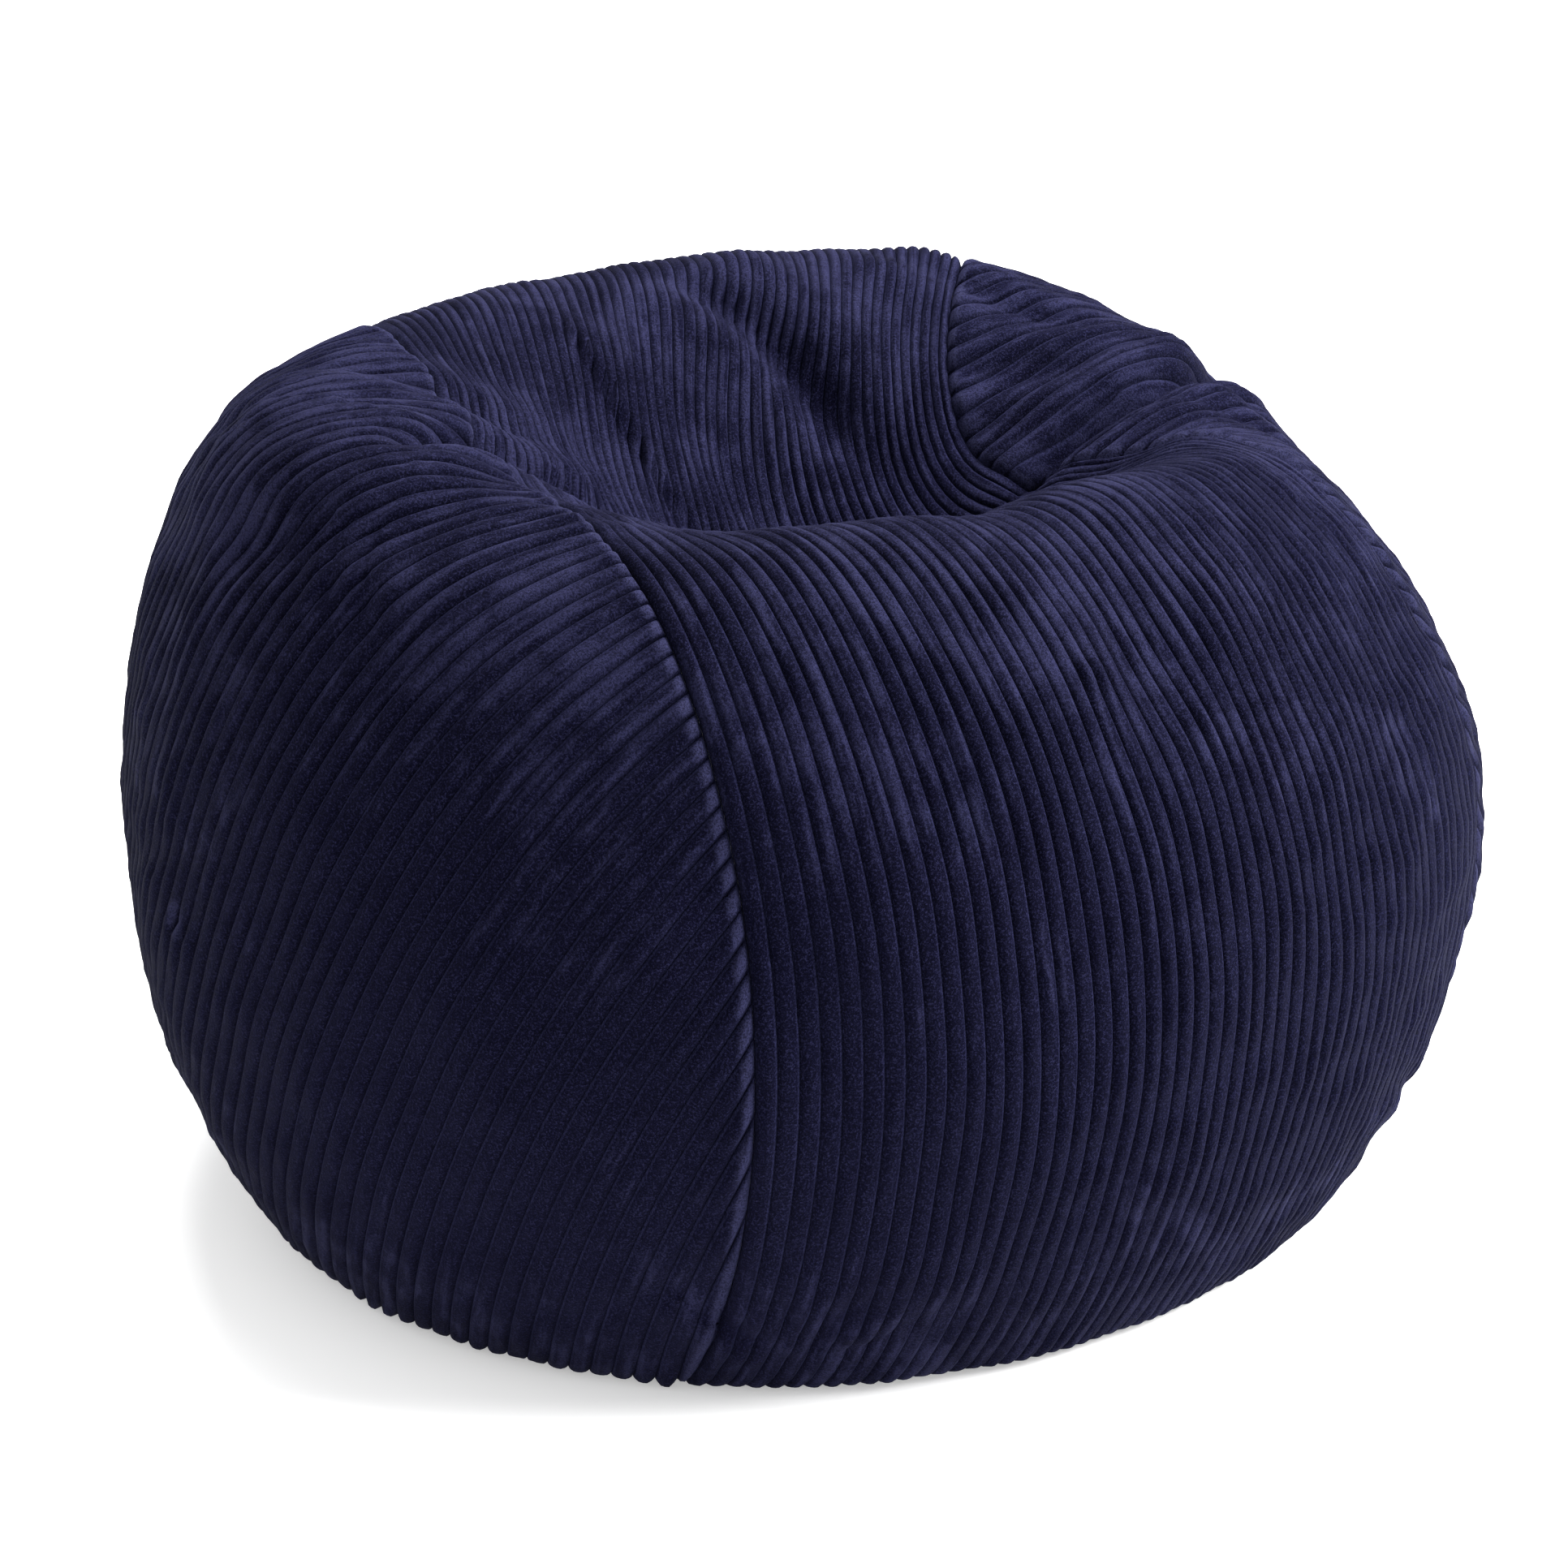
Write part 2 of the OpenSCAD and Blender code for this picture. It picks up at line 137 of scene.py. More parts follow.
# Fans of small wrinkles: where each starts, where its first and last wrinkle end, how many
# there are, and how high they stand
WRINKLE_FANS = {
    "left_arm_seam": ((-0.300, -0.030, 0.575), (-0.420, -0.150, 0.500), (-0.400, 0.150, 0.550),
                      9, 0.0045),
    "right_arm_fold": ((0.200, 0.010, 0.495), (0.330, -0.130, 0.490), (0.330, 0.130, 0.500),
                       8, 0.0050),
    "back_left_roll": ((-0.130, 0.120, 0.520), (-0.260, 0.190, 0.560), (-0.110, 0.270, 0.560),
                       6, 0.0035),
    "lip_left_corner": ((-0.215, -0.190, 0.545), (-0.160, -0.080, 0.470),
                        (-0.280, -0.110, 0.560), 5, 0.0035),
    "floor_left": ((-0.200, -0.330, 0.030), (-0.290, -0.300, 0.110), (-0.120, -0.400, 0.110),
                   7, 0.0030),
    "floor_right": ((0.330, -0.230, 0.040), (0.250, -0.360, 0.130), (0.400, -0.170, 0.140),
                    7, 0.0030),
    "floor_back": ((0.250, 0.270, 0.040), (0.350, 0.220, 0.130), (0.180, 0.350, 0.130),
                   6, 0.0030),
}


def unit(v):
    return v / np.maximum(np.linalg.norm(v, axis=-1, keepdims=True), 1e-12)


def smooth_step(x, low, high):
    t = np.clip((x - low) / (high - low), 0, 1)
    return t * t * (3 - 2 * t)


def bag_point(n):
    """Outside of the smooth bag along directions n of the unit ball."""
    girth = np.sqrt(np.maximum(1 - n[..., 2] ** 2, 0))
    spread = girth**FULLNESS / np.maximum(girth, 1e-9)
    rise = np.where(n[..., 2] > 0, CROWN_RISE, SOLE_DROP)
    p = np.stack([HALF_W * n[..., 0] * spread, HALF_D * n[..., 1] * spread,
                  BELT_Z + rise * n[..., 2]], -1)
    lift = 0
    for centre, reach, move in PRESSES.values():
        away = (p / BAG_SCALE - centre) / reach
        lift = lift + move * np.exp(-(away**2).sum(-1))
    z = p[..., 2] + lift
    p[..., 2] = np.where(z > SOLE_ROUND, z,
                         np.where(z < -SOLE_ROUND, 0, (z + SOLE_ROUND) ** 2 / (4 * SOLE_ROUND)))
    return p


def bag_normal(n, nudge=0.004):
    pole = np.where(np.abs(n[..., 2:]) > 0.9, [1.0, 0, 0], [0, 0, 1.0])
    along = unit(np.cross(pole, n))
    across = np.cross(n, along)
    run = bag_point(unit(n + nudge * along)) - bag_point(unit(n - nudge * along))
    rise = bag_point(unit(n + nudge * across)) - bag_point(unit(n - nudge * across))
    return unit(np.cross(run, rise))


def rounded_route(points, parts=7):
    """A smooth curve through the points of a route."""
    p = np.array(points, float)
    p = np.vstack([2 * p[0] - p[1], p, 2 * p[-1] - p[-2]])
    t = np.linspace(0, 1, parts, endpoint=False)[:, None]
    legs = [0.5 * (2 * b + (c - a) * t + (2 * a - 5 * b + 4 * c - d) * t**2
                   + (3 * b - a - 3 * c + d) * t**3)
            for a, b, c, d in zip(p, p[1:], p[2:], p[3:])]
    return np.vstack(legs + [p[-2:-1]])


def fold_height(p, out, points, humps):
    """How far one fold moves the cloth at p out of the bag, fading to nothing at its ends."""
    route = rounded_route(points)
    legs = np.diff(route, axis=0)
    lengths = np.linalg.norm(legs, axis=1)
    so_far = np.concatenate([[0], np.cumsum(lengths)])
    reach = so_far[-1] / 2 + 4 * max(abs(o) + w for o, w, _ in humps)
    near = np.linalg.norm(p - route.mean(0), axis=-1) < reach
    q, o = p[near], out[near]
    best = np.full(len(q), 1e9)
    along, left = np.zeros(len(q)), np.zeros(len(q))
    for start, leg, length, before in zip(route, legs, lengths, so_far):
        t = np.clip((q - start) @ leg / length**2, 0, 1)
        away = q - start - t[:, None] * leg
        distance = np.linalg.norm(away, axis=1)
        side = np.sign((np.cross(leg, away) * o).sum(1))
        closer = distance < best
        best = np.where(closer, distance, best)
        along = np.where(closer, (before + t * length) / so_far[-1], along)
        left = np.where(closer, side * distance, left)
    fade = smooth_step(along, 0, 0.22) * (1 - smooth_step(along, 0.72, 1))
    heights = np.zeros(p.shape[:-1])
    heights[near] = fade * sum(h * np.exp(-(((left - at) / w) ** 2)) for at, w, h in humps)
    return heights


SLACK_HEIGHT = 0.0011
dice = np.random.default_rng(7)
SLACK_WAVES = [(unit(dice.normal(size=3)) * 2 * math.pi / dice.uniform(0.07, 0.26),
                dice.uniform(0, 2 * math.pi)) for _ in range(22)]
SMALL_WRINKLES = []
for start, first, last, count, height in WRINKLE_FANS.values():
    for share in np.linspace(0, 1, count):
        end = np.array(first) * (1 - share) + np.array(last) * share
        end = end + dice.normal(size=3) * 0.006
        away = end - start
        begin = np.array(start) + away * dice.uniform(0.05, 0.30)
        middle = (begin + end) / 2 + dice.normal(size=3) * 0.007
        tall = height * dice.uniform(0.6, 1.2)
        wide = dice.uniform(0.006, 0.010)
        SMALL_WRINKLES.append(([begin, middle, end],
                               [(0, wide, -tall), (1.9 * wide, 1.2 * wide, 0.7 * tall)]))


def slack(p):
    """Gentle unevenness of a loosely filled cloth, none near the floor."""
    waves = sum(np.sin(p @ wave + phase) for wave, phase in SLACK_WAVES)
    evened = waves / math.sqrt(len(SLACK_WAVES) / 2)
    return SLACK_HEIGHT * evened * smooth_step(p[..., 2], 0.05, 0.13)


def bag_surface(n):
    """Point, outward normal and fold height of the bag's outside along directions n."""
    p, out = bag_point(n), bag_normal(n)
    height = slack(p)
    for points, humps in list(FOLDS.values()) + SMALL_WRINKLES:
        height = height + fold_height(p, out, points, humps)
    return p + height[..., None] * out, out


def new_piece(name, verts, faces, marks=None):
    """A mesh object from points and faces, with outward faces. marks gives each point its
    place on the cloth, for the UV map, and maybe how near it is to a sewn edge."""
    mesh = bpy.data.meshes.new(name)
    mesh.from_pydata(np.asarray(verts).reshape(-1, 3).tolist(), [], faces)
    mesh.validate()
    piece = bpy.data.objects.new(name, mesh)
    bpy.context.scene.collection.objects.link(piece)
    if marks is not None:
        corner = np.zeros(len(mesh.loops), np.int32)
        mesh.loops.foreach_get("vertex_index", corner)
        layer = mesh.uv_layers.new(name="cloth")
        layer.data.foreach_set("uv", marks[:, :2][corner].ravel())
        if marks.shape[1] > 2:
            sewn = mesh.attributes.new("sewn", "FLOAT", "POINT")
            sewn.data.foreach_set("value", marks[:, 2])
    bpy.context.view_layer.objects.active = piece
    piece.select_set(True)
    bpy.ops.object.mode_set(mode="EDIT")
    bpy.ops.mesh.select_all(action="SELECT")
    bpy.ops.mesh.normals_make_consistent(inside=False)
    bpy.ops.object.mode_set(mode="OBJECT")
    bpy.ops.object.shade_smooth_by_angle(angle=math.radians(70))
    piece.select_set(False)
    return piece


class Socket:
    """One value in a material's nodes. Sums on it add Math nodes."""

    def __init__(self, out):
        self.out = out

    def node(self, kind, settings=None, output=0, **inputs):
        return add_node(self.out.id_data, kind, settings, output, **inputs)

    def math(self, operation, a, b=0.0, c=0.0):
        return self.node("ShaderNodeMath", {"operation": operation}, _0=a, _1=b, _2=c)

    def __add__(self, other):
        return self.math("ADD", self, other)

    def __radd__(self, other):
        return self.math("ADD", other, self)

    def __sub__(self, other):
        return self.math("SUBTRACT", self, other)

    def __rsub__(self, other):
        return self.math("SUBTRACT", other, self)

    def __mul__(self, other):
        return self.math("MULTIPLY", self, other)

    def __rmul__(self, other):
        return self.math("MULTIPLY", other, self)

    def part_of_one(self):
        return self.math("FRACT", self)

    def lesser(self, other):
        return self.math("MINIMUM", self, other)

    def between(self, low, high):
        """0 below low and 1 above high, with a soft step."""
        return self.node("ShaderNodeMapRange", {"interpolation_type": "SMOOTHSTEP"},
                         Value=self, From_Min=low, From_Max=high)

    def mixed(self, low_colour, high_colour):
        return self.node("ShaderNodeMix", {"data_type": "RGBA"}, output=2,
                         _0=self, _6=low_colour, _7=high_colour)


def add_node(tree, kind, settings=None, output=0, **inputs):
    """Any node: its settings first, then its inputs by name, or by number as _0, _1."""
    made = tree.nodes.new(kind)
    for name, value in (settings or {}).items():
        setattr(made, name, value)
    for name, value in inputs.items():
        slot = made.inputs[int(name[1:]) if name[0] == "_" else name.replace("_", " ")]
        if isinstance(value, Socket):
            tree.links.new(value.out, slot)
        elif value is not None:
            slot.default_value = value
    return Socket(made.outputs[output])


def new_finish(name):
    """An empty material and its node tree."""
    finish = bpy.data.materials.new(name)
    finish.use_nodes = True
    finish.node_tree.nodes.clear()
    return finish, finish.node_tree


def close_finish(tree, normal=None, **shader):
    """The surface shader and the material's output."""
    surface = add_node(tree, "ShaderNodeBsdfPrincipled", Normal=normal, **shader)
    tree.links.new(surface.out, tree.nodes.new("ShaderNodeOutputMaterial").inputs["Surface"])


def object_place(tree):
    return add_node(tree, "ShaderNodeTexCoord", output=3)


def bump(tree, height, distance, strength=1.0):
    return add_node(tree, "ShaderNodeBump", Height=height, Distance=distance, Strength=strength)


def shows(piece, finish, body="bag", node=None):
    """Gives a piece its material and body, and hides the CAD node that it stands in for."""
    piece.data.materials.clear()
    piece.data.materials.append(finish)
    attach(piece, body)
    if node:
        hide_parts(node)


BEAD_DEPTH = 0.020
BEAD_RINGS, BEAD_COLUMNS = 90, 150

ring = np.linspace(-math.pi / 2, math.pi / 2, BEAD_RINGS)[1:-1, None]
round_it = np.linspace(0, 2 * math.pi, BEAD_COLUMNS, endpoint=False)[None]
bead_dirs = np.stack([np.cos(ring) * np.sin(round_it), -np.cos(ring) * np.cos(round_it),
                      np.sin(ring) + 0 * round_it], -1).reshape(-1, 3)
bead_dirs = np.vstack([bead_dirs, [[0, 0, -1], [0, 0, 1]]])
bead_outside, bead_out = bag_surface(bead_dirs)
foot, top = len(bead_dirs) - 2, len(bead_dirs) - 1
bead_faces = []
for j in range(BEAD_COLUMNS):
    k = (j + 1) % BEAD_COLUMNS
    bead_faces.append((foot, k, j))
    for i in range(BEAD_RINGS - 3):
        a, b = i * BEAD_COLUMNS, (i + 1) * BEAD_COLUMNS
        bead_faces.append((a + j, a + k, b + k, b + j))
    bead_faces.append((top, b + j, b + k))
bead_fill = new_piece("bead_fill", bead_outside - BEAD_DEPTH * bead_out, bead_faces)

beads, tree = new_finish("expanded_beads")
place = object_place(tree)
bead_cells = add_node(tree, "ShaderNodeTexVoronoi", Vector=place, Scale=240.0)
bead_tone = add_node(tree, "ShaderNodeTexNoise", Vector=place, Scale=30.0, Detail=2.0)
close_finish(tree,
             Base_Color=bead_tone.mixed((0.80, 0.80, 0.76, 1), (0.94, 0.94, 0.92, 1)),
             Roughness=0.55 + 0.2 * bead_tone,
             normal=bump(tree, 1 - bead_cells, 0.0015))
shows(bead_fill, beads, node="bean_fill")

# ---- Bead liner ----
# The inner bag that holds the beads: a strip from front to back, two sides and a base, in
# thin white woven cotton, sewn edge to edge. It lies just inside the cover.
BASE_SEAM = 0.615
ZIP_TOP_Z = 0.043
LINER_DEPTH, LINER_THICK = 0.011, 0.001
LINER_PULL, PULL_REACH = 0.0012, 0.006
LINER_GAP = 0.004
SOLE_MIDDLE = 0.9995
TUCK_TURN, TUCK_REACH, TUCK_IN = 93, 14, 0.18


def loop_dir(x, turn):
    """A turn of 0 is the front, 90 the crown and 180 the back; x is the place across."""
    r, a = np.sqrt(1 - x**2), np.radians(turn)
    return np.stack(np.broadcast_arrays(x, -r * np.cos(a), r * np.sin(a)), -1)


def seam_x(side, turn):
    """Place across the bag of the seam between the strip and a side."""
    a = np.radians(turn)
    backward = (1 - np.cos(a)) / 2
    if side < 0:
        return -(0.545 - 0.125 * backward)
    tucked = np.exp(-(((turn - TUCK_TURN) / TUCK_REACH) ** 2))
    return 0.755 - 0.05 * backward - 0.30 * np.sin(a) ** 2 - TUCK_IN * tucked


def strip_x(share, turn):
    left, right = seam_x(-1, turn), seam_x(1, turn)
    return left + (right - left) * share


def end_turn(share, drop, behind):
    """Turn at which a line of the strip comes down to latitude -drop."""
    found = np.full_like(share, 35.0)
    for _ in range(8):
        x = strip_x(share, 180 + found if behind else -found)
        found = np.degrees(np.arcsin(drop / np.sqrt(1 - x**2)))
    return 180 + found if behind else -found


def latitude_of(z):
    return (BELT_Z - z) / SOLE_DROP


def strip_dirs(shares, rows, front_drop, back_drop):
    """Directions of a strip's grid, row by row from the front floor to the back."""
    front, back = end_turn(shares, front_drop, False), end_turn(shares, back_drop, True)
    turns = front + (back - front) * np.linspace(0, 1, rows)[:, None]
    return loop_dir(strip_x(shares[None], turns), turns), turns


RIB_TILT = math.radians(29)
RIB_BACKWARD = np.array([0, math.cos(RIB_TILT), math.sin(RIB_TILT)])
RIB_TOP = np.array([0, -math.sin(RIB_TILT), math.cos(RIB_TILT)])
FRONT_LEAN, BACK_LEAN = math.radians(34), math.radians(8)


def side_dirs(side, rows, shares, drop):
    """Directions of a side's grid. Its rows are the ribs' lines. Each lies square to a
    slanting pole, which leans further out for the front ribs, and runs from edge to edge."""
    def inside(n):
        turn = np.degrees(np.arctan2(n[..., 2], -n[..., 1]))
        turn = np.where(turn < -90, turn + 360, turn)
        return np.minimum(side * (n[..., 0] - seam_x(side, turn)), n[..., 2] + drop)

    outward = np.array([side, 0, 0])

    def on_rib(line, turned):
        lean = BACK_LEAN + (FRONT_LEAN - BACK_LEAN) * np.clip(0.5 - line / 2, 0, 1)[..., None]
        pole = np.sin(lean) * outward + np.cos(lean) * RIB_BACKWARD
        across = np.cos(lean) * outward - np.sin(lean) * RIB_BACKWARD
        line, turned = line[..., None], turned[..., None]
        return (np.sin(line) * pole + np.cos(line) * np.cos(turned) * RIB_TOP
                + np.cos(line) * np.sin(turned) * across)

    tries = np.linspace(0.02, math.pi - 0.02, 1400)[None]

    def crosses(line):
        return (inside(on_rib(line + 0 * tries, tries)) > 0).any()

    lines = [line for line in np.linspace(-1.5, 1.5, 61) if crosses(line)]
    ends = []
    for kept, step in ((lines[0], -0.05), (lines[-1], 0.05)):
        missed = kept + step
        for _ in range(11):
            half = (kept + missed) / 2
            kept, missed = (half, missed) if crosses(half) else (kept, half)
        ends.append(kept)
    row_line = np.linspace(ends[0], ends[1], rows)[:, None]
    value = inside(on_rib(row_line + 0 * tries, tries + 0 * row_line))
    best = value.argmax(1)
    starts, stops = [], []
    for line, middle in zip(value > 0, best):
        before = np.flatnonzero(~line[:middle + 1])
        after = np.flatnonzero(~line[middle:])
        starts.append(before[-1] if len(before) else 0)
        stops.append(middle + after[0] if len(after) else line.size - 1)
    step = tries[0, 1] - tries[0, 0]
    begin, end = tries[0, starts], tries[0, stops]
    for edge, inward in ((begin, step), (end, -step)):
        out_of, in_of = edge.copy(), edge + inward
        for _ in range(14):
            half = (out_of + in_of) / 2
            ok = inside(on_rib(row_line[:, 0], half)) > 0
            in_of, out_of = np.where(ok, half, in_of), np.where(ok, out_of, half)
        edge[:] = in_of
    turned = begin[:, None] + (end - begin)[:, None] * shares[None]
    return on_rib(row_line + 0 * turned, turned)


def edge_distance(n, side, drop, back_drop=None):
    """Distance in metres from n to the side seam or seams, and to the floor or zip edge."""
    turn = np.degrees(np.arctan2(n[..., 2], -n[..., 1]))
    turn = np.where(turn < -90, turn + 360, turn)
    p = bag_point(n)
    nudge = 0.01
    across = np.linalg.norm(bag_point(unit(n + [nudge, 0, 0])) - p, axis=-1) / nudge
    down = np.linalg.norm(bag_point(unit(n - [0, 0, nudge])) - p, axis=-1) / nudge
    sides = (-1, 1) if side == 0 else (side,)
    to_seam = np.min([np.abs(n[..., 0] - seam_x(s, turn)) for s in sides], 0) * across
    lowest = np.where(turn > 90, drop if back_drop is None else back_drop, drop)
    return to_seam, np.abs(n[..., 2] + lowest) * down


def grid_faces(rows, columns, first=0, flip=False):
    i, j = np.meshgrid(np.arange(rows - 1), np.arange(columns - 1), indexing="ij")
    a = first + i * columns + j
    quads = np.stack([a, a + 1, a + columns + 1, a + columns], -1).reshape(-1, 4)
    return (quads[:, ::-1] if flip else quads).tolist()


def rim_line(rows, columns, first=0):
    """Indices of a grid's edge, once round."""
    top = [first + j for j in range(columns)]
    right = [first + i * columns + columns - 1 for i in range(1, rows)]
    bottom = [first + (rows - 1) * columns + j for j in range(columns - 2, -1, -1)]
    left = [first + i * columns for i in range(rows - 2, 0, -1)]
    return top + right + bottom + left


def sheet_of_cloth(name, outside, inside, marks, stride=(1, 1)):
    """A closed sheet: its outside grid, a coarser inside grid, and a rim that joins them."""
    rows, columns = outside.shape[:2]
    inner_rows, inner_columns = inside.shape[:2]
    total = rows * columns
    faces = grid_faces(rows, columns)
    faces += grid_faces(inner_rows, inner_columns, total, flip=True)
    outer = rim_line(rows, columns)
    inner = rim_line(inner_rows, inner_columns, total)
    spans = ([stride[1]] * (inner_columns - 1) + [stride[0]] * (inner_rows - 1)) * 2
    at = 0
    for k, span in enumerate(spans):
        run = [outer[(at + s) % len(outer)] for s in range(span + 1)]
        faces.append(run[::-1] + [inner[k], inner[(k + 1) % len(inner)]])
        at += span
    inner_marks = marks[::stride[0], ::stride[1]]
    return new_piece(name, np.vstack([outside.reshape(-1, 3), inside.reshape(-1, 3)]), faces,
                     np.vstack([m.reshape(-1, marks.shape[-1]) for m in (marks, inner_marks)]))


def plain_marks(points):
    """Metres across and along a grid, from its middle."""
    across = np.cumsum(np.linalg.norm(np.diff(points, axis=1, prepend=points[:, :1]), axis=-1), 1)
    along = np.cumsum(np.linalg.norm(np.diff(points, axis=0, prepend=points[:1]), axis=-1), 0)
    return np.stack([across - across[:, across.shape[1] // 2:][:, :1], along], -1)


def liner_panel(name, dirs, side):
    """A liner panel that pulls in a little where it is sewn to its neighbours."""
    p, out = bag_surface(dirs)
    to_seam, to_floor = edge_distance(dirs, side, BASE_SEAM)
    nearest = np.minimum(to_seam, to_floor)
    pulled = LINER_PULL * np.exp(-nearest / PULL_REACH)
    depth = (LINER_DEPTH + pulled)[..., None]
    return sheet_of_cloth(name, p - depth * out, p - (depth + LINER_THICK) * out,
                          plain_marks(p))


def base_dirs(rings, columns, rim_drop):
    """Directions of a base, ring by ring from its rim to near the middle of the sole."""
    angles = np.linspace(0, 2 * math.pi, columns + 1)
    rim = rim_drop(angles)[None]
    drop = rim + (SOLE_MIDDLE - rim) * np.linspace(0, 1, rings)[:, None]
    reach = np.sqrt(1 - drop**2)
    return np.stack([reach * np.sin(angles), -reach * np.cos(angles), -drop], -1), angles


def closed_base(name, outside, inside, marks):
    """A round sheet: rings joined round, a disc at the middle and a rim."""
    rings, columns = outside.shape[0], outside.shape[1] - 1
    outer, inner = outside[:, :-1].reshape(-1, 3), inside[:, :-1].reshape(-1, 3)
    total = len(outer)
    faces = []
    for i in range(rings - 1):
        for j in range(columns):
            a, b = i * columns + j, i * columns + (j + 1) % columns
            faces.append((a, b, b + columns, a + columns))
            faces.append((a + total, a + columns + total, b + columns + total, b + total))
    last = (rings - 1) * columns
    faces.append([last + j for j in range(columns)])
    faces.append([last + total + j for j in reversed(range(columns))])
    for j in range(columns):
        k = (j + 1) % columns
        faces.append((k, j, j + total, k + total))
    flat = marks[:, :-1].reshape(-1, 2)
    return new_piece(name, np.vstack([outer, inner]), faces, np.vstack([flat, flat]))


liner_cloth, tree = new_finish("white_liner_cotton")
place = object_place(tree)
weave = add_node(tree, "ShaderNodeTexNoise", Vector=place, Scale=1500.0, Detail=1.0)
crumple = add_node(tree, "ShaderNodeTexNoise", Vector=place, Scale=26.0, Detail=4.0)
close_finish(tree,
             Base_Color=crumple.mixed((0.74, 0.74, 0.71, 1), (0.90, 0.90, 0.88, 1)),
             Roughness=0.80 + 0.1 * weave,
             Sheen_Weight=0.15,
             normal=bump(tree, weave * 0.3 + crumple, 0.002, 0.6))

liner_drop = BASE_SEAM - LINER_GAP
liner_zip_edge = latitude_of(ZIP_TOP_Z + 0.001)
liner_strip, _ = strip_dirs(np.linspace(0.004, 0.996, 46), 130, liner_drop, liner_zip_edge)
shows(liner_panel("liner_strip", liner_strip, 0), liner_cloth,
      node="liner_centre_panel")
for side, name in ((-1, "left"), (1, "right")):
    dirs = side_dirs(side, 90, np.linspace(0.003, 0.997, 70), liner_drop)
    shows(liner_panel("liner_%s_side" % name, dirs, side), liner_cloth,
          node="liner_%s_panel" % name)
dirs, _ = base_dirs(14, 120, lambda angle: np.full_like(angle, BASE_SEAM + LINER_GAP))
p, out = bag_surface(dirs)
shows(closed_base("liner_base", p - LINER_DEPTH * out,
                  p - (LINER_DEPTH + LINER_THICK) * out, p[..., :2]),
      liner_cloth, node="liner_base_panel")

# ---- Cord cover ----
# Wide-rib plush cord in navy. One strip runs from the front floor over the lip, through the
# seat and down the back, with its ribs lengthwise. The two sides have their ribs laid
# across it at a slant, so their ends stand along the seams as small knuckles.
STRIP_RIBS = 52
SIDE_RIB_PITCH = 0.0142
RIB_CREST, RIB_GROOVE = 0.0016, -0.0016
COVER_THICK = 0.0045
HEM_THICK = 0.0015                                # the cloth pressed flat where it is sewn
SEAM_DIVE, SEAM_WIDTH = 0.0058, 0.0075            # how far a sewn edge turns in, over what
ZIP_DIVE = 0.0004
SEAM_SLIT = 0.0002
RIB_WANDER, STRIP_SWAY = 0.0007, 0.5
KNUCKLE, KNUCKLE_REACH = 1.3, 0.010               # extra height of the rib ends at a seam
SEWN_REACH = 0.006
STRIP_ROWS, SIDE_COLUMNS = 225, 121
RIB_STEPS = np.array([0, 0.05, 0.14, 0.31, 0.5, 0.69, 0.86, 0.95])
PER_RIB = len(RIB_STEPS)

PILE_WAVES = [(unit(dice.normal(size=3)) * 2 * math.pi / dice.uniform(0.018, 0.08),
               dice.uniform(0, 2 * math.pi)) for _ in range(24)]


def pile_wander(p):
    """Between about -1 and 1, for how the ribs wander and are crushed here and there."""
    waves = sum(np.sin(p @ wave + phase) for wave, phase in PILE_WAVES)
    return waves / math.sqrt(len(PILE_WAVES)) * 1.2


def rib_places(ribs):
    """Places across a panel in ribs: the steps of every rib, and one at the end."""
    return np.append((np.arange(ribs)[:, None] + RIB_STEPS).ravel(), ribs)


def rib_height(ribs):
    """Rounded rib tops with narrow grooves between, for places counted in ribs."""
    from_groove = 1 - np.abs(2 * (ribs % 1.0) - 1)
    return RIB_GROOVE + (RIB_CREST - RIB_GROOVE) * (1 - (1 - from_groove) ** 2.6) ** 0.80


def sewn_in(distance, width):
    """1 at a sewn edge, falling to 0 as a rounded shoulder of that width."""
    t = 1 - np.clip(distance / width, 0, 1)
    return 1 - np.sqrt(1 - t**2)


def grid_normals(p, out):
    """Outward normals of a grid of points, creases and all; out keeps them turned out."""
    run, rise = np.gradient(p, axis=0), np.gradient(p, axis=1)
    n = np.cross(run, rise)
    size = np.linalg.norm(n, axis=-1, keepdims=True)
    n = n * np.sign((n * out).sum(-1, keepdims=True))
    return unit(np.where(size > 1e-9, n / np.maximum(size, 1e-12), out) + 0.15 * out)


def cord_panel(name, dirs, ribs, side, along, back_drop=None, stride=(2, PER_RIB)):
    """A panel of cord. ribs gives each point's place in ribs, side is 0 for the strip, along
    is the grid's axis on which a rib runs, and back_drop is the edge at the zip, if any."""
    p, out = bag_surface(dirs)
    normal = grid_normals(p, out)
    to_seam, to_floor = edge_distance(dirs, side, BASE_SEAM, back_drop)
    at_zip = (dirs[..., 2] < 0) & (dirs[..., 1] > 0) & (back_drop is not None)
    at_seam = sewn_in(to_seam, SEAM_WIDTH)
    at_floor = sewn_in(to_floor, SEAM_WIDTH)
    edge = np.maximum(at_seam, at_floor)
    dive = np.where(at_zip & (at_floor > at_seam), ZIP_DIVE, SEAM_DIVE)
    on_crest = smooth_step(rib_height(ribs), 0, RIB_CREST)
    relief = rib_height(ribs) + RIB_WANDER * pile_wander(p) * on_crest
    if side:
        relief = relief * (1 + KNUCKLE * np.exp(-to_seam / KNUCKLE_REACH))
    lift = relief * (1 - edge) - dive * edge
    direction = unit(normal * (1 - edge)[..., None] + out * edge[..., None])
    outside = p + lift[..., None] * direction
    under = -COVER_THICK - (dive + HEM_THICK - COVER_THICK) * edge
    inside = (p + under[..., None] * direction)[::stride[0], ::stride[1]]
    length = np.cumsum(np.linalg.norm(np.diff(p, axis=along, prepend=np.take(p, [0], along)),
                                      axis=-1), along)
    near_seam = np.exp(-to_seam / SEWN_REACH) if side else 0 * to_seam
    return sheet_of_cloth(name, outside, inside, np.stack([ribs, length, near_seam], -1), stride)


